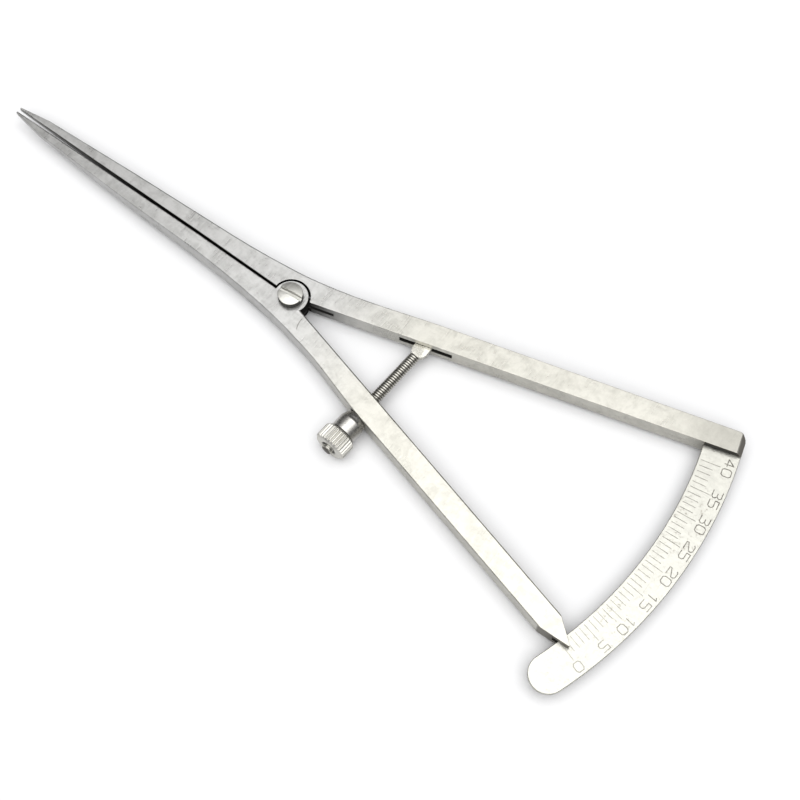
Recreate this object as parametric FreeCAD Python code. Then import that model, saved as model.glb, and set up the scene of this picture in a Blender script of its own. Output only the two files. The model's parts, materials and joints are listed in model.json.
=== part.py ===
import FreeCAD, Part
import math
import os

# Screw-set caliper: two arms on a lap joint, a nut on a hinged screw that sets
# the opening, and a curved millimetre scale that one arm points at.
# Millimetres. Origin on the joint axis at the back face, +X towards the scale,
# +Y on the side of the scale arm, +Z up out of the front face.

V = FreeCAD.Vector

# ---- overall ----
ARM_THICK = 4.2
MID_Z = ARM_THICK / 2
# Both arms by side: 1 is the scale arm, -1 the pointer arm.
HALF_OPEN_DEG = {1: 15.45, -1: 14.7}       # a handle from the centre line, as set
ARM_END = 94.75            # joint axis to the end of the scale arm
END_CUT = (1.15, 1.2)      # its upper end edge is ground back and down by this
TIP_REACH = 75.7           # joint axis to the measuring tips
LEG_CANT = 0.0105          # the pair of legs leans this much per mm of reach

# ---- joint ----
DISC_R = 3.62
RECESS_R = 4.02
LAP_GAP = 0.1
HANDLE_INSET = {1: 0.2, -1: 0.38}          # inner face of a handle to the joint axis
# Half the gap between the legs, as set: distance along X, distance out.
LEG_GAP = [(-1.0, 0.2), (-66.0, 0.325), (-TIP_REACH, 0.4)]
TIP_WIDTH = 0.4
TIP_THICK = 1.0
TAPER_START = -24.0        # legs thin down from here to the tips

# Outer edge of an arm: distance along X, distance from the line of the legs.
LEG_OUTLINE = {
    1: [(-68.0, 1.92), (-58.0, 2.40), (-48.0, 2.84), (-38.0, 3.22), (-28.0, 3.52),
        (-20.0, 3.82), (-12.0, 4.34), (-5.0, 5.05), (1.0, 5.86), (6.6, 6.98)],
    -1: [(-68.0, 1.92), (-58.0, 2.40), (-48.0, 2.84), (-38.0, 3.20), (-28.0, 3.42),
         (-20.0, 3.66), (-12.0, 4.18), (-5.0, 4.86), (1.0, 5.68), (6.6, 6.80)],
}
# Then along the handle: distance from the joint, width outside the axis.
HANDLE_OUTLINE = {
    1: [(12.4, 4.80), (21.0, 4.84), (31.0, 5.00)],
    -1: [(12.4, 4.76), (21.0, 5.08), (31.0, 5.28)],
}
HANDLE_END_WIDTH = {1: 4.75, -1: 5.10}

# ---- pivot screw ----
HEAD_R = 2.6
HEAD_HIGH = 1.5
HEAD_DOME = 0.26
SHANK_R = 1.5
THREAD_R = 1.3
RUN_CLEAR = 0.05
SLOT_WIDTH = 0.8
SLOT_DEPTH = 0.85
SLOT_TURN_DEG = 6.0

# ---- return spring ----
WIRE_R = 0.4
SPRING_R = 2.05
SPRING_REACH = 8.7
POCKET_R = 2.6
GROOVE_REACH = 9.2
GROOVE_HIGH = 1.1
GROOVE_DEEP = 2.65

# ---- adjusting screw ----
LINK_R = 29.7              # joint axis to the eye pin and to the collar's centre
PIN_OFFSET = 2.5           # eye pin from the line of the handle's inner face
SEAT_OFFSET = 6.94         # collar's centre from the same line of the other handle
PIN_R = 0.6
LUG_THICK = 1.2
LUG_BACK_R = 1.5
LUG_FRONT_R = 1.7
LUG_FRONT_AT = 3.6
NECK_END = 5.1
THREAD_START = 5.35
ROD_R = 1.2
THREAD_DEEP = 0.24
PITCH = 0.53
ROD_END = 31.9
NOTCH_COUNT = 5            # punched into the rim of the rod's end to keep the nut on
NOTCH_DEEP = 0.45
NOTCH_HALF = 0.3
LUG_SLOT = (23.5, 34.8)
LUG_SLOT_HIGH = 1.5
LUG_SLOT_DEEP = 4.3
ROD_SLOT_HIGH = 2.7
ROD_SLOT_OUTER = (-2.3, 1.8)
ROD_SLOT_INNER = (-2.65, 2.55)
ROD_SLOT_STEP = 3.0

# ---- collar and thumb nut ----
BORE_R = 1.28
DOME_R = 2.6
COLLAR_R = 2.75
SHOULDER_AT = -0.7         # start of the collar's barrel, from the dome's centre
SHOULDER_ROUND = 0.8
NOSE_FLAT_R = 1.5
SEAT_CLEAR = 0.05
COLLAR_LEN = 2.75           # centre of the dome to the nut's side
NUT_GAP = 0.05
BOSS_R = 2.0
KNURL_R = 3.5
KNURL_DEEP = 0.3
KNURL_COUNT = 30
KNURL_START = 2.95
KNURL_LEN = 3.8
KNURL_CHAMFER = 0.5
MOUTH_FLARE = 0.45

# ---- scale blade ----
BLADE_IN = 87.15
BLADE_OUT = ARM_END
BLADE_THICK = 1.0
BLADE_SET = 4.2            # how far the blade goes into the scale arm
BLADE_END_DEG = -20.45     # centre of the rounded free end
BLADE_SLOT_OVER = 0.4      # gap above the blade in the arm
BLADE_PIN_AT = ((89.0, 2.4), (92.2, 2.4))
ZERO_DEG = -17.1
TICKS = 40
TICK_WIDTH = 0.15
ENGRAVE_DEEP = 0.1
TICK_FROM = 0.55
TICK_MINOR = 3.3
TICK_MAJOR = 4.5
DIGIT_FROM = 5.0
DIGIT_HIGH = 1.9
DIGIT_WIDE = 1.6
DIGIT_STEP = 2.1
STROKE = 0.2
# The numbers are stamped by hand: how far some sit from their graduation.
STAMP_SHIFT = {10: -0.3, 15: -0.1, 35: -0.4, 40: 0.3}

# ---- pointer ----
POINT_SHOULDER_IN = 83.8
POINT_SHOULDER_OUT = 82.8
POINT_AT = (89.25, 3.05)
POINT_FLAT = 0.15
POINTER_SLOT_R = 86.0
POINTER_SLOT_HIGH = 1.6
END_CORNER_R = 1.9

DIGITS = {
    "0": [[(0, .2), (0, .8), (.2, 1), (.8, 1), (1, .8), (1, .2), (.8, 0), (.2, 0), (0, .2)]],
    "1": [[(.2, .8), (.55, 1), (.55, 0)]],
    "2": [[(0, .85), (.2, 1), (.8, 1), (1, .85), (1, .6), (0, .2), (0, 0), (1, 0)]],
    "3": [[(0, 1), (.8, 1), (1, .8), (.75, .53), (.3, .53)],
          [(.75, .53), (1, .35), (1, .15), (.8, 0), (0, 0)]],
    "4": [[(.7, 0), (.7, 1), (0, .32), (1, .32)]],
    "5": [[(1, 1), (0, 1), (0, .58), (.8, .58), (1, .42), (1, .15), (.8, 0), (0, 0)]],
}


def polar(radius, degrees):
    a = math.radians(degrees)
    return V(radius * math.cos(a), radius * math.sin(a), 0)


def arm_point(side, along, out):
    """A point in a handle's own directions: along it, and out from its inner line."""
    a = math.radians(side * HALF_OPEN_DEG[side])
    x = along * math.cos(a) - side * out * math.sin(a)
    y = along * math.sin(a) + side * out * math.cos(a)
    return V(x, y, 0)


def leg_point(side, x, out):
    return V(x, side * out - LEG_CANT * min(x, 0.0), 0)


def prism(points, z0, z1):
    ring = [V(p.x, p.y, z0) for p in points]
    face = Part.Face(Part.makePolygon(ring + ring[:1]))
    return face.extrude(V(0, 0, z1 - z0))


def cylinder(radius, z0, z1, centre=None):
    base = centre or V(0, 0, 0)
    return Part.makeCylinder(radius, z1 - z0, V(base.x, base.y, z0))


def handle_block(side, along, out, z0, z1):
    """A block lying along a handle: ranges along it, out from it, and in height."""
    corners = [(along[0], out[0]), (along[1], out[0]), (along[1], out[1]), (along[0], out[1])]
    return prism([arm_point(side, a, o) for a, o in corners], z0, z1)


def outer_curve(side):
    pts = [leg_point(side, x, w) for x, w in LEG_OUTLINE[side]]
    pts += [arm_point(side, a, o) for a, o in HANDLE_OUTLINE[side]]
    curve = Part.BSplineCurve()
    curve.interpolate(pts)
    return curve.toShape()


def arm_blank(side, end_points):
    """The full-thickness plan of one arm, leg and handle in one piece."""
    outer = outer_curve(side)
    first = leg_point(side, *LEG_OUTLINE[side][0])
    last = arm_point(side, *HANDLE_OUTLINE[side][-1])
    inner = [leg_point(side, x, gap) for x, gap in LEG_GAP]
    tip_out = leg_point(side, -TIP_REACH, LEG_GAP[-1][1] + TIP_WIDTH)
    heel = arm_point(side, 1.0, HANDLE_INSET[side])
    chain = [last] + end_points + [heel] + inner + [tip_out, first]
    lines = [Part.makeLine(a, b) for a, b in zip(chain, chain[1:])]
    wire = Part.Wire(Part.__sortEdges__([outer] + lines))
    return Part.Face(wire).extrude(V(0, 0, ARM_THICK))


def side_profile():
    """Keeps the handles full height and thins the legs evenly to the tips."""
    low, high = MID_Z - TIP_THICK / 2, MID_Z + TIP_THICK / 2
    far = ARM_END + 5
    xz = [(-TIP_REACH - 1, low), (TAPER_START, 0), (far, 0),
          (far, ARM_THICK), (TAPER_START, ARM_THICK), (-TIP_REACH - 1, high)]
    ring = [V(x, -60, z) for x, z in xz]
    return Part.Face(Part.makePolygon(ring + ring[:1])).extrude(V(0, 120, 0))


def end_cut():
    """The wedge ground off the upper edge of the scale arm's end."""
    back, down = END_CUT
    beyond = 3.0
    start = ARM_END - back
    profile = [(start, ARM_THICK), (start, ARM_THICK + beyond), (ARM_END + beyond, ARM_THICK + beyond),
               (ARM_END + beyond, ARM_THICK - down - beyond * down / back)]
    across = arm_point(1, 0, 20).sub(arm_point(1, 0, -10))
    ring = [arm_point(1, a, -10).add(V(0, 0, z)) for a, z in profile]
    return Part.Face(Part.makePolygon(ring + ring[:1])).extrude(across)


def round_corner(solid, point, radius):
    """Rounds the upright edge that stands at a point of the plan."""
    picked = []
    for edge in solid.Edges:
        near = edge.CenterOfMass.sub(V(point.x, point.y, MID_Z)).Length < 0.01
        if near and edge.BoundBox.ZLength > ARM_THICK - 0.01:
            picked.append(edge)
    return solid.makeFillet(radius, picked)


def joint_half(blank, own, other):
    """Leaves an arm's disc in its own layer and clears the other arm's disc."""
    disc = cylinder(DISC_R, own[0], own[1])
    recess = cylinder(RECESS_R, other[0], other[1])
    return blank.cut(recess).fuse(disc)


def spring_room(side):
    """A groove for one leg of the spring, a pocket for its bow, and room for the
    other leg to swing across the disc."""
    z0, z1 = MID_Z - GROOVE_HIGH / 2, MID_Z + GROOVE_HIGH / 2
    groove = handle_block(side, (0, GROOVE_REACH), (-1.0, GROOVE_DEEP), z0, z1)
    front = Part.makeBox(2 * RECESS_R, 2 * RECESS_R, GROOVE_HIGH, V(0, -RECESS_R, z0))
    swing = cylinder(DISC_R + 0.1, z0, z1).common(front)
    return groove.fuse([cylinder(POCKET_R, z0, z1), swing])


def link_point(side, offset):
    """A point at the link's radius, so far outside a handle's line."""
    past = math.degrees(math.asin(offset / LINK_R))
    return polar(LINK_R, side * (HALF_OPEN_DEG[side] + past))


def eye_centre():
    return link_point(1, PIN_OFFSET)


def seat_centre():
    return link_point(-1, SEAT_OFFSET)


def rod_placement(origin):
    """Local +Z runs along the screw from the eye to the nut, local +Y is up."""
    run = seat_centre().sub(eye_centre()).normalize()
    up = V(0, 0, 1)
    across = up.cross(run)
    turn = FreeCAD.Rotation(across, up, run, "ZYX")
    return FreeCAD.Placement(V(origin.x, origin.y, MID_Z), turn)


def turned(profile):
    """A solid of revolution about local Z from (distance, radius) pairs."""
    ring = [V(0, 0, profile[0][0])] + [V(r, 0, t) for t, r in profile]
    ring += [V(0, 0, profile[-1][0])]
    face = Part.Face(Part.makePolygon(ring + ring[:1]))
    return face.revolve(V(0, 0, 0), V(0, 0, 1), 360)


def upper_layer():
    return (MID_Z + LAP_GAP / 2, ARM_THICK)


def lower_layer():
    return (0, MID_Z - LAP_GAP / 2)


def scale_arm():
    corner = arm_point(1, ARM_END, HANDLE_END_WIDTH[1])
    blank = arm_blank(1, [corner, arm_point(1, ARM_END, HANDLE_INSET[1])])
    blank = round_corner(blank, corner, END_CORNER_R).common(side_profile()).cut(end_cut())
    top_cut = (MID_Z - LAP_GAP / 2, ARM_THICK)
    arm = joint_half(blank, lower_layer(), top_cut)
    arm = arm.cut(spring_room(1))
    arm = arm.cut(cylinder(THREAD_R, 0, MID_Z))
    lug_z = (MID_Z - LUG_SLOT_HIGH / 2, MID_Z + LUG_SLOT_HIGH / 2)
    arm = arm.cut(handle_block(1, LUG_SLOT, (-1, LUG_SLOT_DEEP), *lug_z))
    arm = arm.cut(cylinder(PIN_R, 0, ARM_THICK, eye_centre()))
    blade_z = MID_Z - BLADE_THICK / 2
    slot = blade_ring(blade_z, blade_z + BLADE_THICK + BLADE_SLOT_OVER, BLADE_IN, BLADE_OUT + 3)
    arm = arm.cut(slot.common(handle_block(1, (80, 100), (-1, BLADE_SET), 0, ARM_THICK)))
    for along, out in BLADE_PIN_AT:
        arm = arm.cut(cylinder(PIN_R, 0, ARM_THICK, arm_point(1, along, out)))
    return arm.removeSplitter()


def pointer_arm():
    flat = POINT_FLAT
    point = [arm_point(-1, POINT_SHOULDER_OUT, HANDLE_END_WIDTH[-1]),
             arm_point(-1, POINT_AT[0], POINT_AT[1] + flat),
             arm_point(-1, POINT_AT[0], POINT_AT[1] - flat),
             arm_point(-1, POINT_SHOULDER_IN, HANDLE_INSET[-1])]
    blank = arm_blank(-1, point).common(side_profile())
    low_cut = (0, MID_Z + LAP_GAP / 2)
    arm = joint_half(blank, upper_layer(), low_cut)
    arm = arm.cut(spring_room(-1))
    arm = arm.cut(cylinder(SHANK_R + RUN_CLEAR, MID_Z, ARM_THICK))
    arm = arm.cut(rod_slot())
    blade_gap = (MID_Z - POINTER_SLOT_HIGH / 2, MID_Z + POINTER_SLOT_HIGH / 2)
    slot = cylinder(ARM_END + 5, *blade_gap).cut(cylinder(POINTER_SLOT_R, *blade_gap))
    arm = arm.cut(slot)
    return arm.removeSplitter()


def rod_slot():
    """The stepped slot that lets the screw and its eye swing inside the arm."""
    centre = seat_centre()
    along = math.sqrt(LINK_R ** 2 - SEAT_OFFSET ** 2)
    z = (MID_Z - ROD_SLOT_HIGH / 2, MID_Z + ROD_SLOT_HIGH / 2)
    outer = handle_block(-1, [along + s for s in ROD_SLOT_OUTER], (0, 8), *z)
    inner = handle_block(-1, [along + s for s in ROD_SLOT_INNER], (-1, ROD_SLOT_STEP), *z)
    seat = Part.makeSphere(DOME_R + SEAT_CLEAR, V(centre.x, centre.y, MID_Z))
    return outer.fuse([inner, seat])


def pivot_screw():
    """Slotted cheese head on the upper arm, smooth stem, end in the lower arm."""
    under = ARM_THICK + RUN_CLEAR
    rim = ARM_THICK + HEAD_HIGH
    top = rim + HEAD_DOME
    dome_r = (HEAD_R ** 2 + HEAD_DOME ** 2) / (2 * HEAD_DOME)
    ball = Part.makeSphere(dome_r, V(0, 0, top - dome_r))
    dome = ball.common(cylinder(HEAD_R, rim, top + 0.1))
    stem_end = MID_Z - GROOVE_HIGH / 2
    shank = cylinder(SHANK_R, stem_end, under)
    thread = cylinder(THREAD_R, 0, stem_end)
    slot = Part.makeBox(4 * HEAD_R, SLOT_WIDTH, 2 * SLOT_DEPTH,
                        V(-2 * HEAD_R, -SLOT_WIDTH / 2, top - SLOT_DEPTH))
    slot.rotate(V(0, 0, 0), V(0, 0, 1), SLOT_TURN_DEG)
    screw = cylinder(HEAD_R, under, rim).fuse([dome, shank, thread]).removeSplitter()
    return screw.cut(slot)


def return_spring():
    """A bow of wire round the pivot with one leg along each handle."""
    ring = Part.makeTorus(SPRING_R, WIRE_R, V(0, 0, MID_Z), V(0, 0, 1), 0, 360)
    wedge = prism([V(0, 0, 0), polar(9, 90 + HALF_OPEN_DEG[1]), polar(9, 160), polar(9, 200),
                   polar(9, 270 - HALF_OPEN_DEG[-1])], 0, ARM_THICK)
    bow = ring.common(wedge)
    legs = []
    for side in (1, -1):
        foot = arm_point(side, 0, SPRING_R)
        end = arm_point(side, SPRING_REACH, SPRING_R)
        run = end.sub(foot)
        legs.append(Part.makeCylinder(WIRE_R, run.Length, V(foot.x, foot.y, MID_Z), run))
    return bow.fuse(legs)


def screw_profile():
    """Root inside the lug, then a thread drawn as even rings, then a plain end."""
    root = LUG_THICK / 2 - 0.1
    profile = [(LUG_FRONT_AT, root), (NECK_END, root), (THREAD_START, ROD_R)]
    turns = int((ROD_END - 0.5 - THREAD_START) / PITCH)
    for k in range(turns):
        t = THREAD_START + k * PITCH
        profile.append((t + PITCH * 0.5, ROD_R - THREAD_DEEP))
        profile.append((t + PITCH * 0.9, ROD_R))
        profile.append((t + PITCH, ROD_R))
    profile.append((ROD_END - 0.25, ROD_R))
    profile.append((ROD_END, ROD_R - 0.25))
    return profile


def end_notches():
    """V notches punched radially into the rim of the rod's end."""
    past = 0.1
    rim, end = ROD_R + past, ROD_END + past
    cuts = []
    for k in range(NOTCH_COUNT):
        ring = [V(ROD_R / 2, 0, end), V(rim, -NOTCH_HALF, end),
                V(rim, 0, ROD_END - NOTCH_DEEP), V(rim, NOTCH_HALF, end)]
        base = [ring[1], ring[2], ring[3], ring[1]]
        faces = [Part.Face(Part.makePolygon(base))]
        for a, b in ((1, 2), (2, 3), (3, 1)):
            faces.append(Part.Face(Part.makePolygon([ring[0], ring[a], ring[b], ring[0]])))
        cut = Part.Solid(Part.Shell(faces))
        cut.rotate(V(0, 0, 0), V(0, 0, 1), k * 360.0 / NOTCH_COUNT)
        cuts.append(cut)
    return cuts


def adjusting_screw():
    half = LUG_THICK / 2
    place = rod_placement(eye_centre())
    down = V(0, 1, 0)
    back = Part.makeCylinder(LUG_BACK_R, LUG_THICK, V(0, -half, 0), down)
    front = Part.makeCylinder(LUG_FRONT_R, LUG_THICK, V(0, -half, LUG_FRONT_AT), down)
    body = Part.makePolygon([V(-LUG_BACK_R, -half, 0), V(LUG_BACK_R, -half, 0),
                             V(LUG_FRONT_R, -half, LUG_FRONT_AT),
                             V(-LUG_FRONT_R, -half, LUG_FRONT_AT), V(-LUG_BACK_R, -half, 0)])
    web = Part.Face(body).extrude(V(0, LUG_THICK, 0))
    rod = turned(screw_profile())
    hole = Part.makeCylinder(PIN_R + RUN_CLEAR, LUG_THICK + 1, V(0, -half - 0.5, 0), down)
    screw = back.fuse([front, web, rod]).cut([hole] + end_notches())
    screw.Placement = place
    return screw


def eye_pin():
    return cylinder(PIN_R, 0, ARM_THICK, eye_centre())


def blade_pins():
    low, high = 0, ARM_THICK
    pins = []
    for along, out in BLADE_PIN_AT:
        pins.append(cylinder(PIN_R, low, high, arm_point(1, along, out)))
    return Part.makeCompound(pins)


def thrust_collar():
    """Ball-nosed collar: the nose sits in the arm, the barrel meets the nut."""
    barrel = cylinder(COLLAR_R, SHOULDER_AT, COLLAR_LEN)
    shoulder = min((e for e in barrel.Edges if e.Closed), key=lambda e: e.CenterOfMass.z)
    barrel = barrel.makeFillet(SHOULDER_ROUND, [shoulder])
    nose = -math.sqrt(DOME_R ** 2 - NOSE_FLAT_R ** 2)
    ball = Part.makeSphere(DOME_R).common(cylinder(DOME_R + 1, nose, 0.0))
    collar = ball.fuse(barrel).removeSplitter()
    collar = collar.cut(cylinder(BORE_R, nose - 1, COLLAR_LEN + 1))
    collar.Placement = rod_placement(seat_centre())
    return collar


def thumb_nut():
    start, length = KNURL_START, KNURL_LEN
    points = []
    for k in range(KNURL_COUNT):
        pitch = 360.0 / KNURL_COUNT
        points.append(polar(KNURL_R - KNURL_DEEP, k * pitch))
        points.append(polar(KNURL_R, (k + 0.36) * pitch))
        points.append(polar(KNURL_R, (k + 0.64) * pitch))
    star = prism(points, start, start + length)
    cut = KNURL_CHAMFER
    shape = turned([(start, KNURL_R - cut), (start + cut, KNURL_R + 0.01),
                    (start + length - cut, KNURL_R + 0.01), (start + length, KNURL_R - cut)])
    boss = cylinder(BOSS_R, COLLAR_LEN + NUT_GAP, start)
    nut = star.common(shape).fuse(boss)
    nut = nut.cut(cylinder(BORE_R, 0, start + length + 1))
    flare = MOUTH_FLARE
    mouth = Part.makeCone(BORE_R, BORE_R + flare, flare, V(0, 0, start + length - flare))
    nut = nut.cut(mouth)
    nut.Placement = rod_placement(seat_centre())
    return nut


def blade_ring(z0, z1, inner, outer):
    return cylinder(outer, z0, z1).cut(cylinder(inner, z0, z1))


def tick_angle(reading):
    return ZERO_DEG + 2 * math.degrees(math.asin(reading / (2 * TIP_REACH)))


def bar(a, b, width, z0, z1):
    """A straight engraving cut from a to b."""
    run = b.sub(a)
    run.normalize()
    side = V(-run.y * width / 2, run.x * width / 2, 0)
    return prism([a.add(side), a.sub(side), b.sub(side), b.add(side)], z0, z1)


def tick_cut(reading, z0, z1):
    reach = TICK_MAJOR if reading % 5 == 0 else TICK_MINOR
    a = polar(BLADE_IN + TICK_FROM, tick_angle(reading))
    b = polar(BLADE_IN + reach, tick_angle(reading))
    return bar(a, b, TICK_WIDTH, z0, z1)


def number_cuts(reading, z0, z1):
    """The numeral of one long graduation, its top towards the outer edge."""
    text = str(reading)
    angle = tick_angle(reading)
    up = polar(1, angle)
    across = V(up.y, -up.x, 0)
    base = polar(BLADE_IN + DIGIT_FROM, angle)
    cuts = []
    for place, char in enumerate(text):
        shift = (place - (len(text) - 1) / 2) * DIGIT_STEP - DIGIT_WIDE / 2
        shift -= STAMP_SHIFT.get(reading, 0.0)
        for stroke in DIGITS[char]:
            ends = [base + across * (shift + u * DIGIT_WIDE) + up * (v * DIGIT_HIGH)
                    for u, v in stroke]
            parts = [bar(a, b, STROKE, z0, z1) for a, b in zip(ends, ends[1:])]
            parts += [cylinder(STROKE / 2, z0, z1, p) for p in ends[1:-1]]
            cuts += parts
    return cuts[0].fuse(cuts[1:])


def scale_blade():
    z0, z1 = MID_Z - BLADE_THICK / 2, MID_Z + BLADE_THICK / 2
    mid_r, half = (BLADE_IN + BLADE_OUT) / 2, (BLADE_OUT - BLADE_IN) / 2
    ring = blade_ring(z0, z1, BLADE_IN, BLADE_OUT)
    root = arm_point(1, 0, BLADE_SET)
    far = arm_point(1, 120, BLADE_SET)
    wedge = prism([V(0, 0, 0), polar(130, BLADE_END_DEG), far, root], z0, z1)
    blade = ring.common(wedge).fuse(cylinder(half, z0, z1, polar(mid_r, BLADE_END_DEG)))
    for along, out in BLADE_PIN_AT:
        blade = blade.cut(cylinder(PIN_R, z0, z1, arm_point(1, along, out)))
    floor = z1 - ENGRAVE_DEEP
    cuts = [tick_cut(k, floor, z1 + 0.1) for k in range(TICKS + 1)]
    cuts += [number_cuts(k, floor, z1 + 0.1) for k in range(0, TICKS + 1, 5)]
    return blade.cut(cuts)


PARTS = {
    "scale_arm": scale_arm, "pointer_arm": pointer_arm, "pivot_screw": pivot_screw,
    "return_spring": return_spring, "adjusting_screw": adjusting_screw,
    "eye_pin": eye_pin, "thrust_collar": thrust_collar, "thumb_nut": thumb_nut,
    "scale_blade": scale_blade, "blade_pins": blade_pins,
}

os.makedirs("parts", exist_ok=True)
for node, build in PARTS.items():
    build().exportStep("parts/" + node + ".step")
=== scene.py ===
import bmesh
import bpy
import json
import math
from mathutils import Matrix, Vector

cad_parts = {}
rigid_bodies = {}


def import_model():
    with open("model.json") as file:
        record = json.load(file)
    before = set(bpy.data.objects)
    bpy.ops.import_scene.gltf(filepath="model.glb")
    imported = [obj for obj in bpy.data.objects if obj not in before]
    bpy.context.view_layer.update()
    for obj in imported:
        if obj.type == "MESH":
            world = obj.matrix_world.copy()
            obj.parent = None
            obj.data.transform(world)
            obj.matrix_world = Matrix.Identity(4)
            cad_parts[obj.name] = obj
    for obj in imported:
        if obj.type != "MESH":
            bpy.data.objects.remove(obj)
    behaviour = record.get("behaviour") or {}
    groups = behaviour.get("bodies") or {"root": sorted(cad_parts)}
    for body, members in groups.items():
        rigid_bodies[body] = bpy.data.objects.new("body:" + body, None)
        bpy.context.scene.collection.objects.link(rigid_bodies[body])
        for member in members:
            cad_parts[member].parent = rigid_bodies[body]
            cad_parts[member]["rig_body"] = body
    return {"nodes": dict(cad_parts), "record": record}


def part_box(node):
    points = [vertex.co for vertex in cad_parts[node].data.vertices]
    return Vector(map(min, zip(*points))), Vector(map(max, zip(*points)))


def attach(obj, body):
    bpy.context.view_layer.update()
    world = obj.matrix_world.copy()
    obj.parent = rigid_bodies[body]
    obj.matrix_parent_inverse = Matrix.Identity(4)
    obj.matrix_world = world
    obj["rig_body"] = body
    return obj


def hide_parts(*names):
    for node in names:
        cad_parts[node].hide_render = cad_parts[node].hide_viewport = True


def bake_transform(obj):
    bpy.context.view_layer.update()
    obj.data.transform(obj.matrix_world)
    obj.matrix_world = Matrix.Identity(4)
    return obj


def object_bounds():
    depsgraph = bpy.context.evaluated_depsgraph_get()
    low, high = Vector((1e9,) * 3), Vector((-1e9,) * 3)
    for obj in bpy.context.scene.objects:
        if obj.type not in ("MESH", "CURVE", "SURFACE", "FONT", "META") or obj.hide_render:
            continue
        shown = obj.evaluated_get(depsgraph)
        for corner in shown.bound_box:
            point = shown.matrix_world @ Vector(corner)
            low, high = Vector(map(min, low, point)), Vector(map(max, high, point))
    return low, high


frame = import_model()
cad_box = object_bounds()
MM = 0.001
NODES = frame["nodes"]
JOINTS = {j["name"]: j for j in frame["record"]["behaviour"]["joints"]}
EYE = Vector(JOINTS["screw_swivel"]["pos_m"])
SEAT = Vector(JOINTS["collar_swivel"]["pos_m"])
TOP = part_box("scale_arm")[1].z
MID = TOP / 2
LEG_CANT = 0.0105
TAPER_START, TIP_AT = -24 * MM, -76.7 * MM
TIP_HALF = 0.5 * MM
RECESS_R = 4.02 * MM
ARM_END = 94.75 * MM
HALF_OPEN = math.radians(15.45)
BLADE_IN = 87.15 * MM
NUMERALS_FROM = 91.8 * MM
POINT_FROM = 82.6 * MM
BLADE_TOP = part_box("scale_blade")[1].z
ENGRAVED = (87.45 * MM, 94.45 * MM)
ROD_R, THREAD_DEEP, PITCH = 1.2 * MM, 0.24 * MM, 0.53 * MM
LUG_HALF = 0.6 * MM
NECK_END, THREAD_END = 5.1 * MM, 31.35 * MM
RUB_AT, RUB_R = (9.14 * MM, -2.91 * MM), 4.23 * MM
EDGE_WIDTH = 0.27 * MM
EDGE_EASE, FLARE_END = 0.7, 28.0 * MM
PIN_FLAT_R = 0.75 * MM
ALONG = Vector(JOINTS["nut_spin"]["axis"])
ACROSS = Vector((-ALONG.y, ALONG.x, 0.0))

# ---------------------------------------------------------------- materials


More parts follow.
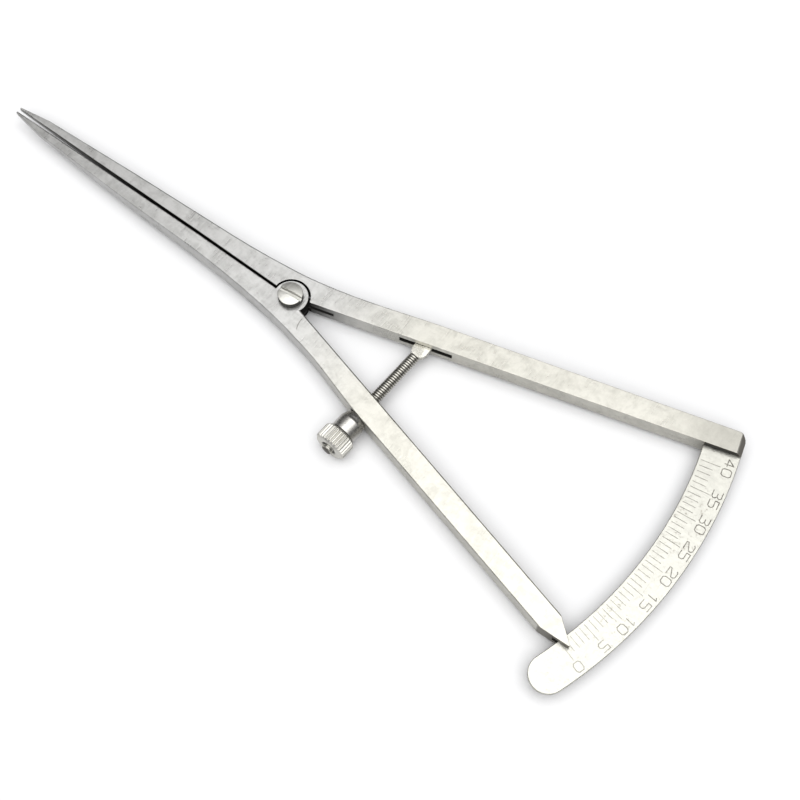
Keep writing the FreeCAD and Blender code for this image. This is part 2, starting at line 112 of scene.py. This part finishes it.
class Shader:
    """A short way to write one node tree."""

    def __init__(self, name):
        self.mat = bpy.data.materials.new(name)
        self.mat.use_nodes = True
        self.nt = self.mat.node_tree
        self.bsdf = self.nt.nodes["Principled BSDF"]
        coords = self.node("ShaderNodeTexCoord")
        self.place = coords.outputs["Object"]
        self.facing = coords.outputs["Normal"]

    def node(self, kind, **values):
        n = self.nt.nodes.new(kind)
        for key, value in values.items():
            setattr(n, key, value)
        return n

    def feed(self, socket, value):
        if hasattr(value, "links"):
            self.nt.links.new(value, socket)
        else:
            socket.default_value = value

    def math(self, op, a, b=0.0, clamp=False):
        n = self.node("ShaderNodeMath", operation=op, use_clamp=clamp)
        self.feed(n.inputs[0], a)
        self.feed(n.inputs[1], b)
        return n.outputs[0]

    def stretched(self, scale, turn=0.0):
        m = self.node("ShaderNodeMapping")
        self.feed(m.inputs["Vector"], self.place)
        m.inputs["Scale"].default_value = scale
        m.inputs["Rotation"].default_value = (0, 0, turn)
        return m.outputs[0]

    def noise(self, scale, detail=3.0, vector=None, rough=0.55, distort=0.0):
        n = self.node("ShaderNodeTexNoise")
        self.feed(n.inputs["Vector"], vector or self.place)
        n.inputs["Scale"].default_value = scale
        n.inputs["Detail"].default_value = detail
        n.inputs["Roughness"].default_value = rough
        n.inputs["Distortion"].default_value = distort
        return n.outputs["Fac"]

    def span(self, fac, low, high, to_low=0.0, to_high=1.0, smooth=False):
        n = self.node("ShaderNodeMapRange")
        if smooth:
            n.interpolation_type = "SMOOTHSTEP"
        self.feed(n.inputs["Value"], fac)
        for key, value in zip(("From Min", "From Max", "To Min", "To Max"),
                              (low, high, to_low, to_high)):
            self.feed(n.inputs[key], value)
        return n.outputs["Result"]

    def mix(self, fac, a, b, kind="MIX"):
        n = self.node("ShaderNodeMix", data_type="RGBA", blend_type=kind)
        self.feed(n.inputs[0], fac)
        for socket, value in ((n.inputs[6], a), (n.inputs[7], b)):
            self.feed(socket, value if hasattr(value, "links") else (*value, 1.0))
        return n.outputs[2]

    def split(self, vector):
        n = self.node("ShaderNodeSeparateXYZ")
        self.feed(n.inputs[0], vector)
        return n.outputs

    def apart(self, point):
        """Distance in plan from a point."""
        x, y, _ = self.split(self.place)
        dx = self.math("SUBTRACT", x, point[0])
        dy = self.math("SUBTRACT", y, point[1])
        square = self.math("ADD", self.math("MULTIPLY", dx, dx), self.math("MULTIPLY", dy, dy))
        return self.math("SQRT", square)

    def handle_out(self):
        """Distance from the line of the scale arm's inner face."""
        x, y, _ = self.split(self.place)
        return self.math("SUBTRACT", self.math("MULTIPLY", y, math.cos(HALF_OPEN)),
                         self.math("MULTIPLY", x, math.sin(HALF_OPEN)))

    def both(self, *masks):
        """All of the masks at once."""
        out = masks[0]
        for mask in masks[1:]:
            out = self.math("MULTIPLY", out, mask)
        return out

    def upright(self):
        """Faces that stand across the front."""
        return self.span(self.math("ABSOLUTE", self.split(self.facing)[2]), 0.35, 0.6, 1.0, 0.0)

    def level(self):
        """Faces that lie along the front or the back."""
        return self.span(self.math("ABSOLUTE", self.split(self.facing)[2]), 0.5, 0.8)

    def bump(self, height, strength, distance, under=None):
        n = self.node("ShaderNodeBump")
        n.inputs["Strength"].default_value = strength
        n.inputs["Distance"].default_value = distance
        self.feed(n.inputs["Height"], height)
        if under is not None:
            self.feed(n.inputs["Normal"], under)
        return n.outputs[0]


BLACK = (0.012, 0.011, 0.010)


def steel(name, light, dark, rough, grain, clouds=0.5, turn=0.0, marks=(), tint=None):
    """Satin stainless steel: brushing, cloudy polish, scratches, small pits and stains.
    Each of marks is a function that gives a mask and the colour that it paints.
    tint is one that gives a mask and a colour that multiplies the steel's."""
    s = Shader(name)
    lines = s.noise(1.0, 4.0, s.stretched(grain, turn), 0.65)
    fine = s.noise(9000.0, 2.0)
    cloud = s.noise(230.0, 5.0, None, 0.62, 0.8)
    patch = s.noise(900.0, 3.0, None, 0.6, 0.5)
    tone = s.math("ADD", s.span(cloud, 0.32, 0.68, 0.55 - clouds, 0.55 + clouds),
                  s.span(lines, 0.3, 0.7, -0.2, 0.2))
    tone = s.math("ADD", tone, s.span(patch, 0.3, 0.7, -0.4 * clouds, 0.4 * clouds))
    colour = s.mix(s.math("MULTIPLY", tone, 1.0, True), dark, light)
    scratch = s.noise(1.0, 1.0, s.stretched((90.0, 4200.0, 900.0), 0.5 + turn))
    other = s.noise(1.0, 1.0, s.stretched((4600.0, 110.0, 900.0), 0.3 + turn))
    scratch = s.math("MAXIMUM", s.span(scratch, 0.71, 0.78), s.span(other, 0.70, 0.77))
    stain = s.span(s.noise(420.0, 4.0, None, 0.65, 1.2), 0.66, 0.80, 0.0, 0.35, True)
    colour = s.mix(stain, colour, [c * 0.72 for c in dark])
    colour = s.mix(s.math("MULTIPLY", scratch, 0.30), colour, [c * 0.6 for c in dark])
    rough_map = s.math("ADD", s.span(cloud, 0.3, 0.7, rough - 0.05, rough + 0.05),
                       s.span(lines, 0.3, 0.7, -0.05, 0.06))
    if tint:
        where, shade = tint(s)
        colour = s.mix(where, colour, shade, "MULTIPLY")
    for mark in marks:
        mask, paint = mark(s)
        colour = s.mix(mask, colour, paint)
        rough_map = s.math("ADD", rough_map, s.math("MULTIPLY", mask, 0.25))
    s.feed(s.bsdf.inputs["Base Color"], colour)
    s.bsdf.inputs["Metallic"].default_value = 1.0
    s.feed(s.bsdf.inputs["Roughness"], rough_map)
    normal = s.bump(lines, 0.6, 0.00004)
    normal = s.bump(patch, 0.35, 0.00004, normal)
    normal = s.bump(fine, 0.2, 0.00002, normal)
    normal = s.bump(scratch, -0.5, 0.00001, normal)
    s.feed(s.bsdf.inputs["Normal"], normal)
    return s


def gap_painted_shade(s):
    """Painted shade: black painted on the upright walls of the joint's gap and on the facing walls of
    the legs, which lie in shadow.
    """
    x, y, _ = s.split(s.place)
    lean = s.math("ADD", y, s.math("MULTIPLY", x, LEG_CANT))
    near = s.span(s.math("ABSOLUTE", lean), 0.55 * MM, 0.75 * MM, 1.0, 0.0)
    leg = s.both(near, s.span(x, -72 * MM, -40 * MM, 0.35, 1.0), s.span(x, -2 * MM, -1 * MM, 1.0, 0.0))
    ring = s.span(s.apart((0, 0)), RECESS_R + 0.1 * MM, RECESS_R + 0.3 * MM, 1.0, 0.0)
    return s.both(s.upright(), s.math("MAXIMUM", leg, ring)), BLACK


def recess_painted_shade(s):
    """Painted shade: black painted on the floors and roofs of the slots and of the lap joint, where
    shade falls.
    """
    x, _, z = s.split(s.place)
    depth = s.math("ABSOLUTE", s.math("SUBTRACT", z, MID))
    buried = s.span(depth, MID - 0.30 * MM, MID - 0.15 * MM, 0.92, 0.0)
    handle = s.span(x, -5.0 * MM, -4.5 * MM)
    body = s.span(s.apart((0, 0)), ARM_END - 1.5 * MM, ARM_END - 1.3 * MM, 1.0, 0.0)
    return s.both(s.level(), buried, handle, body), BLACK


def leg_cool(s):
    """The legs have the colour of bare steel, the handles are a little yellowed."""
    x = s.split(s.place)[0]
    return s.span(x, 0.0, 32.0 * MM, 1.0, 0.0, True), (0.93, 0.945, 1.02)


def joint_painted_shade(s):
    """Painted shade: the handles' inner faces are painted darker towards the joint, where they lie in
    shadow.
    """
    x, y, _ = s.split(s.place)
    reach = s.span(x, 2.0 * MM, 14.0 * MM, 0.85, 0.0, True)
    inner = s.span(s.math("ABSOLUTE", y), 3.6 * MM, 4.4 * MM, 1.0, 0.0)
    return s.both(s.upright(), reach, inner, s.span(x, 1.0 * MM, 2.0 * MM)), BLACK


def end_dull(s):
    """The scale arm's front is painted darker and made rougher towards its far end."""
    y = s.split(s.place)[1]
    away = s.span(s.apart((0, 0)), 78.0 * MM, 90.0 * MM, 0.0, 0.42, True)
    return s.both(s.level(), away, s.span(y, 0.0, 1.0 * MM)), (0.30, 0.292, 0.262)


def slot_black(s):
    """The scale arm's inner face is painted black above the blade."""
    y, z = s.split(s.place)[1:3]
    near = s.span(s.apart((0, 0)), BLADE_IN - 0.05 * MM, BLADE_IN + 0.1 * MM)
    end = s.span(s.apart((0, 0)), ARM_END - 0.5 * MM, ARM_END - 0.4 * MM, 1.0, 0.0)
    above = s.span(z, BLADE_TOP - 0.05 * MM, BLADE_TOP)
    inner = s.span(s.handle_out(), 1.2 * MM, 1.6 * MM, 1.0, 0.0)
    mask = s.both(s.upright(), near, end, above, inner, s.span(y, 0.0, 1.0 * MM))
    return s.math("MULTIPLY", mask, 0.95), BLACK


def dark_end_and_flanks(s):
    """The end of the scale arm and the pointer's flanks are painted dark brown and made rougher."""
    y = s.split(s.place)[1]
    away = s.apart((0, 0))
    end = s.both(s.span(away, ARM_END - 1.05 * MM, ARM_END - 0.85 * MM), s.span(y, 0.0, 1.0 * MM),
                 s.span(s.split(s.facing)[2], 0.75, 0.95, 1.0, 0.0))
    flank = s.both(s.upright(), s.span(away, POINT_FROM, POINT_FROM + 0.4 * MM),
                   s.span(y, -1.0 * MM, 0.0, 1.0, 0.0))
    return s.math("MULTIPLY", s.math("MAXIMUM", end, flank), 0.8), (0.13, 0.12, 0.105)


def rub_mark(s):
    """A curved scratch beside the pivot screw, on the pointer arm."""
    x, y, z = s.split(s.place)
    off = s.math("ABSOLUTE", s.math("SUBTRACT", s.apart(RUB_AT), RUB_R))
    line = s.span(off, 0.05 * MM, 0.14 * MM, 0.6, 0.0)
    part = s.both(s.span(x, 5.3 * MM, 5.8 * MM, 1.0, 0.0), s.span(y, -2.6 * MM, -2.3 * MM, 1.0, 0.0),
                  s.span(y, -5.4 * MM, -5.0 * MM), s.span(z, TOP - 0.05 * MM, TOP))
    return s.both(line, part), (0.10, 0.09, 0.08)


def engraved(s):
    """Dark paint in the floors of the engraving, paler towards the blade's free end."""
    x, y, z = s.split(s.place)
    floor = BLADE_TOP - 0.1 * MM
    up = s.span(s.split(s.facing)[2], 0.5, 0.8)
    left = s.span(y, -30.0 * MM, 18.0 * MM, 0.34, 0.72)
    worn = s.span(s.noise(1500.0, 2.0), 0.3, 0.65, 0.6, 1.0)
    deep = s.span(s.math("ABSOLUTE", s.math("SUBTRACT", z, floor)), 0.02 * MM, 0.06 * MM, 1.0, 0.0)
    numeral = s.span(s.apart((0, 0)), NUMERALS_FROM - 0.1 * MM, NUMERALS_FROM + 0.2 * MM, 0.75, 1.15)
    return s.both(up, deep, worn, left, numeral), (0.060, 0.050, 0.040)


def blade_stain(s):
    """Brown specks and stains left by handling, thickest over the middle of the scale."""
    x, y, _ = s.split(s.place)
    turn = s.math("ARCTAN2", y, x)
    middle = s.both(s.span(turn, -0.02, 0.04, smooth=True), s.span(turn, 0.14, 0.20, 1.0, 0.0, True))
    low = s.both(s.span(turn, -0.22, -0.18, smooth=True), s.span(turn, -0.16, -0.12, 1.0, 0.0, True))
    where = s.span(s.math("MAXIMUM", middle, low), 0.0, 1.0, 0.35, 1.0)
    specks = s.span(s.noise(1100.0, 4.0, None, 0.7, 0.4), 0.54, 0.74, 0.0, 0.60, True)
    return s.both(where, specks), (0.16, 0.135, 0.105)


def head_wall_painted_shade(s):
    """Painted shade: the screw head's side wall is painted black, for the shadowed gap round the head.
    """
    away = s.apart((0, 0))
    wall = s.both(s.upright(), s.span(away, 2.5 * MM, 2.58 * MM))
    return s.math("MULTIPLY", wall, 0.9), BLACK


def bore_dark(s):
    """The nut's mouth and bore are painted black near the rod's axis."""
    x, y, z = s.split(s.place)
    dx, dy = s.math("SUBTRACT", x, SEAT.x), s.math("SUBTRACT", y, SEAT.y)
    side = s.math("ADD", s.math("MULTIPLY", dx, ACROSS.x), s.math("MULTIPLY", dy, ACROSS.y))
    up = s.math("SUBTRACT", z, MID)
    from_axis = s.math("SQRT", s.math("ADD", s.math("MULTIPLY", side, side), s.math("MULTIPLY", up, up)))
    return s.span(from_axis, 1.45 * MM, 1.8 * MM, 0.92, 0.0), BLACK


def dark_thread_grooves(s):
    """The thread's grooves are painted dark, between bright crests."""
    x, y, z = s.split(s.place)
    dx, dy = s.math("SUBTRACT", x, EYE.x), s.math("SUBTRACT", y, EYE.y)
    side = s.math("ADD", s.math("MULTIPLY", dx, ACROSS.x), s.math("MULTIPLY", dy, ACROSS.y))
    along = s.math("ADD", s.math("MULTIPLY", dx, ALONG.x), s.math("MULTIPLY", dy, ALONG.y))
    up = s.math("SUBTRACT", z, MID)
    from_axis = s.math("SQRT", s.math("ADD", s.math("MULTIPLY", side, side), s.math("MULTIPLY", up, up)))
    groove = s.span(from_axis, ROD_R - THREAD_DEEP, ROD_R - 0.04 * MM, 0.9, 0.0)
    return s.both(groove, s.span(along, NECK_END, NECK_END + 0.2 * MM)), (0.035, 0.028, 0.020)


HANDLE, HANDLE_DARK = (0.482, 0.472, 0.428), (0.368, 0.360, 0.324)
# Among the arm's marks, the black in the joint's gap and between the legs, on the slots' floors and
# roofs, and on the handles' inner faces by the joint is painted shade.
arm = steel("arm_satin", HANDLE, HANDLE_DARK, 0.32, (2700.0, 230.0, 900.0), 0.7,
            tint=leg_cool, marks=(end_dull, gap_painted_shade, recess_painted_shade, joint_painted_shade, slot_black,
                                  dark_end_and_flanks, rub_mark))
blade = steel("blade_satin", (0.470, 0.465, 0.425), (0.405, 0.400, 0.366), 0.36,
              (1500.0, 1500.0, 1500.0), 0.7, marks=(blade_stain, engraved))
turned = steel("turned_bright", (0.50, 0.49, 0.465), (0.40, 0.39, 0.37), 0.30, (2500.0, 2500.0, 2500.0))
# The screw head's side wall is painted black as painted shade.
head = steel("screw_head", (0.48, 0.475, 0.445), (0.40, 0.395, 0.370), 0.33, (2400.0, 240.0, 900.0),
             marks=(head_wall_painted_shade,))
knurled = steel("nut_turned", (0.60, 0.59, 0.55), (0.50, 0.49, 0.455), 0.42, (2500.0, 2500.0, 2500.0),
                marks=(bore_dark,))
thread = steel("thread_dark_grooved", (0.50, 0.49, 0.45), (0.40, 0.39, 0.35), 0.28, (2500.0, 2500.0, 2500.0),
               marks=(dark_thread_grooves,))
wire = steel("spring_wire", (0.30, 0.30, 0.31), (0.20, 0.20, 0.21), 0.32, (2500.0, 2500.0, 2500.0))

# ---------------------------------------------------------------- pieces

SHARP = math.radians(30)


def dress(obj, shader):
    obj.data.materials.clear()
    obj.data.materials.append(shader.mat)


def welded(node):
    """The node's mesh joined up, with its flat faces in one piece each."""
    bm = bmesh.new()
    bm.from_mesh(NODES[node].data)
    bmesh.ops.remove_doubles(bm, verts=bm.verts, dist=0.002 * MM)
    bmesh.ops.dissolve_limit(bm, angle_limit=math.radians(0.4), verts=bm.verts, edges=bm.edges)
    return bm


def half_thickness(x):
    """Half the arms' thickness at a distance along the legs."""
    share = max(0.0, (TAPER_START - x) / (TAPER_START - TIP_AT))
    return MID + (TIP_HALF - MID) * share


def arm_edge(edge):
    """Rounding of an arm's edge: full on the outline, little at the joint, the ends and the slots.
    It eases off along the scale arm's flare, because a sudden change would cross itself."""
    a, b = (v.co for v in edge.verts)
    if flat_spot(a) or flat_spot(b):
        return 0.0
    half = half_thickness((a.x + b.x) / 2) / MID
    far = max(p.to_2d().length for p in (a, b))
    if not all(abs(abs(p.z - MID) - half_thickness(p.x)) < 0.02 * MM for p in (a, b)):
        return 0.12 * half
    if far < RECESS_R + 0.6 * MM or (a.y > 0 and far > ARM_END - 2.5 * MM):
        return 0.3
    if a.y < 0 and far > POINT_FROM + 1.5 * MM:
        return 0.25
    if a.y > 0 and a.x > 0:
        return 1.0 - EDGE_EASE * min(1.0, (a.x + b.x) / 2 / FLARE_END)
    return half


def blade_edge(edge):
    """Only the blade's outline is rounded, not its engraving."""
    a, b = (v.co for v in edge.verts)
    radius = max(math.hypot(p.x, p.y) for p in (a, b))
    inner = min(math.hypot(p.x, p.y) for p in (a, b))
    turn = math.degrees(math.atan2((a.y + b.y) / 2, (a.x + b.x) / 2))
    inside = inner > ENGRAVED[0] and radius < ENGRAVED[1] and turn > -17.8
    return 0.0 if inside or flat_spot(a) else 1.0


def flat_spot(point):
    """Whether a point is on a pin's end, which is polished flush."""
    return min((point - p).length for p in PIN_SPOTS) < PIN_FLAT_R


def piece(name, mesh, nodes, shader):
    """Makes an object of a mesh that stands for CAD nodes."""
    obj = bpy.data.objects.new(name, mesh)
    bpy.context.scene.collection.objects.link(obj)
    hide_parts(*nodes)
    dress(obj, shader)
    return obj


def finished(node, shader, width, weigh=None, segments=2):
    """The CAD shape with its edges broken as a hand finish leaves them."""
    bm = welded(node)
    layer = bm.edges.layers.float.new("bevel_weight_edge")
    for edge in bm.edges:
        if len(edge.link_faces) == 2 and edge.calc_face_angle() > SHARP:
            edge.smooth = False
            edge[layer] = weigh(edge) if weigh else 1.0
    mesh = bpy.data.meshes.new(node + "_finished")
    bm.to_mesh(mesh)
    bm.free()
    mesh.polygons.foreach_set("use_smooth", [True] * len(mesh.polygons))
    obj = piece(node + "_finished", mesh, [node], shader)
    bevel = obj.modifiers.new("edges", "BEVEL")
    bevel.limit_method = "WEIGHT"
    bevel.width = width
    bevel.segments = segments
    bevel.use_clamp_overlap = False
    normals = obj.modifiers.new("normals", "WEIGHTED_NORMAL")
    normals.keep_sharp = True
    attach(obj, NODES[node]["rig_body"])
    return obj


def pin_spots(node):
    """Both ends of each pin of a node, from its mesh."""
    ends = {}
    for v in NODES[node].data.vertices:
        key = (v.co.z > MID)
        ends.setdefault(key, []).append(v.co)
    return [p for points in ends.values() for p in points]


def rod_point(along, radius, turn):
    """A point at a distance along the adjusting screw, off its axis."""
    out = ACROSS * math.cos(turn) + Vector((0, 0, 1)) * math.sin(turn)
    return EYE + ALONG * along + out * radius


def cut_off(bm, along, keep_far):
    """Keeps one side of a cut across the adjusting screw, and closes it."""
    geometry = bm.verts[:] + bm.edges[:] + bm.faces[:]
    cut = bmesh.ops.bisect_plane(bm, geom=geometry, plane_co=EYE + ALONG * along, plane_no=ALONG,
                                 clear_inner=keep_far, clear_outer=not keep_far)
    rim = [e for e in cut["geom_cut"] if isinstance(e, bmesh.types.BMEdge)]
    bmesh.ops.holes_fill(bm, edges=rim, sides=0)


def helix(bm, start, stop, columns=40):
    """A cut thread: rows that climb one pitch in each turn, closed flat at both ends."""
    profile = ((0.0, 1.0), (0.14, 1.0), (0.46, 0.0), (0.68, 0.0))
    turns = int((stop - start) / PITCH) + 2
    rows = []
    for turn in range(turns):
        for at, deep in profile:
            row = []
            for i in range(columns + 1):
                share = i / columns
                along = start + PITCH * (turn - 1 + at + share)
                radius = ROD_R - THREAD_DEEP * deep
                if not start < along < stop:
                    along, radius = min(max(along, start), stop), ROD_R - THREAD_DEEP
                row.append(bm.verts.new(rod_point(along, radius, math.tau * share)))
            rows.append(row)
    for low_row, high_row in zip(rows, rows[1:]):
        for i in range(columns):
            bm.faces.new((low_row[i], low_row[i + 1], high_row[i + 1], high_row[i]))
    for along in (start, stop):
        ring = [bm.verts.new(rod_point(along, ROD_R - THREAD_DEEP, math.tau * i / columns))
                for i in range(columns)]
        bm.faces.new(ring)


def rim_of_lug(point):
    """Whether a point is on an edge of the lug's outline, not of its eye or of the rod."""
    off = point - EYE
    flat = abs(abs(off.z) - LUG_HALF) < 0.02 * MM
    return flat and off.to_2d().length > 1.2 * MM and off.dot(ALONG) < NECK_END - 0.3 * MM


def threaded_screw():
    """The adjusting screw with its thread cut as a helix, between the lug and the notched end."""
    whole = bmesh.new()
    for along, keep_far in ((NECK_END + 0.15 * MM, False), (THREAD_END, True)):
        part = welded("adjusting_screw")
        cut_off(part, along, keep_far)
        sides = bpy.data.meshes.new("rod_part")
        part.to_mesh(sides)
        part.free()
        whole.from_mesh(sides)
        bpy.data.meshes.remove(sides)
    lug = [e for e in whole.edges if len(e.link_faces) == 2 and e.calc_face_angle() > SHARP
           and all(rim_of_lug(v.co) for v in e.verts)]
    bmesh.ops.bevel(whole, geom=lug, offset=0.25 * MM, segments=3, profile=0.5, affect="EDGES",
                    clamp_overlap=True)
    spiral = bmesh.new()
    helix(spiral, NECK_END + 0.12 * MM, THREAD_END + 0.1 * MM)
    bmesh.ops.remove_doubles(spiral, verts=spiral.verts, dist=0.0001 * MM)
    bmesh.ops.recalc_face_normals(spiral, faces=spiral.faces)
    mesh = bpy.data.meshes.new("thread_cut")
    spiral.to_mesh(mesh)
    spiral.free()
    whole.from_mesh(mesh)
    bpy.data.meshes.remove(mesh)
    mesh = bpy.data.meshes.new("adjusting_screw_threaded")
    whole.to_mesh(mesh)
    whole.free()
    mesh.polygons.foreach_set("use_smooth", [True] * len(mesh.polygons))
    mesh.set_sharp_from_angle(angle=SHARP)
    obj = piece("adjusting_screw_threaded", mesh, ["adjusting_screw"], thread)
    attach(obj, "adjusting_screw")


def bending_spring():
    """The return spring's wire, welded and smooth-shaded; it stays fixed in place and does not bend."""
    bm = welded("return_spring")
    mesh = bpy.data.meshes.new("return_spring_wire")
    bm.to_mesh(mesh)
    bm.free()
    mesh.polygons.foreach_set("use_smooth", [True] * len(mesh.polygons))
    mesh.set_sharp_from_angle(angle=SHARP)
    obj = piece("return_spring_wire", mesh, ["return_spring"], wire)
    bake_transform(obj)


PIN_SPOTS = pin_spots("eye_pin") + pin_spots("blade_pins")
for node in ("scale_arm", "pointer_arm"):
    finished(node, arm, EDGE_WIDTH, arm_edge, 3)
finished("scale_blade", blade, 0.12 * MM, blade_edge)
finished("pivot_screw", head, 0.10 * MM)
finished("thrust_collar", turned, 0.08 * MM)
finished("thumb_nut", knurled, 0.04 * MM)
threaded_screw()
bending_spring()

for node in ("eye_pin", "blade_pins"):
    dress(NODES[node], arm)

# ---------------------------------------------------------------- stage

low, high = cad_box
centre = (low + high) / 2


def floor():
    mesh = bpy.data.meshes.new("floor")
    size = 3.0
    corners = [(-size, -size, 0), (size, -size, 0), (size, size, 0), (-size, size, 0)]
    mesh.from_pydata(corners, [], [(0, 1, 2, 3)])
    obj = bpy.data.objects.new("floor", mesh)
    obj.location = (0, 0, low.z)
    bpy.context.scene.collection.objects.link(obj)
    s = Shader("pale_floor")
    shade = s.span(s.noise(14.0, 3.0), 0.3, 0.7)
    s.feed(s.bsdf.inputs["Base Color"], s.mix(shade, (0.685, 0.685, 0.69), (0.705, 0.705, 0.71)))
    s.bsdf.inputs["Roughness"].default_value = 0.8
    dress(obj, s)


def world(towards, steps):
    """A studio under one broad soft light: brightness by the angle from its middle.
    Seen past the floor, it is a plain pale wall."""
    w = bpy.data.worlds.new("studio")
    w.use_nodes = True
    nt = w.node_tree
    light = nt.nodes["Background"]
    sky = nt.nodes.new("ShaderNodeTexCoord")
    dot = nt.nodes.new("ShaderNodeVectorMath")
    dot.operation = "DOT_PRODUCT"
    nt.links.new(sky.outputs["Generated"], dot.inputs[0])
    dot.inputs[1].default_value = Vector(towards).normalized()
    ramp = nt.nodes.new("ShaderNodeValToRGB")
    points = ramp.color_ramp.elements
    while len(points) < len(steps):
        points.new(0.5)
    brightest = max(level for _, level in steps)
    for point, (angle, level) in zip(points, sorted(steps, reverse=True)):
        point.position = max(0.0, math.cos(math.radians(angle)))
        point.color = (level / brightest, level / brightest, level / brightest, 1.0)
    nt.links.new(dot.outputs["Value"], ramp.inputs["Fac"])
    nt.links.new(ramp.outputs["Color"], light.inputs["Color"])
    light.inputs["Strength"].default_value = brightest
    wall = nt.nodes.new("ShaderNodeBackground")
    wall.inputs["Color"].default_value = (0.93, 0.93, 0.93, 1.0)
    path = nt.nodes.new("ShaderNodeLightPath")
    seen = nt.nodes.new("ShaderNodeMixShader")
    nt.links.new(path.outputs["Is Camera Ray"], seen.inputs[0])
    nt.links.new(light.outputs[0], seen.inputs[1])
    nt.links.new(wall.outputs[0], seen.inputs[2])
    nt.links.new(seen.outputs[0], nt.nodes["World Output"].inputs["Surface"])
    bpy.context.scene.world = w


LIGHT_TOWARDS = (0.1, -0.15, 0.98)
LIGHT_STEPS = [(0, 3.35), (31, 3.35), (33, 3.0), (34.5, 2.5), (36, 1.88), (38, 1.42),
               (42, 1.1), (46, 0.92), (52, 0.58), (60, 0.30), (75, 0.15), (90, 0.12)]
AZIMUTH, ELEVATION = math.radians(36.8), math.radians(66.87)
DISTANCE, LENS = 0.29278, 66.05
AIM_X, AIM_Y = 0.020725, -0.000434
back = Vector((math.sin(AZIMUTH) * math.cos(ELEVATION),
               -math.cos(AZIMUTH) * math.cos(ELEVATION), math.sin(ELEVATION)))
aim = Vector((centre.x + AIM_X, centre.y + AIM_Y, 0.0))
camera = bpy.data.cameras.new("camera")
camera.lens = LENS
camera.clip_start, camera.clip_end = 0.01, 20.0
eye = bpy.data.objects.new("camera", camera)
eye.location = aim + back * DISTANCE
eye.rotation_mode = "QUATERNION"
eye.rotation_quaternion = (-back).to_track_quat("-Z", "Y")
bpy.context.scene.collection.objects.link(eye)
bpy.context.scene.camera = eye

bpy.context.scene.view_settings.view_transform = "Standard"
floor()
world(LIGHT_TOWARDS, LIGHT_STEPS)
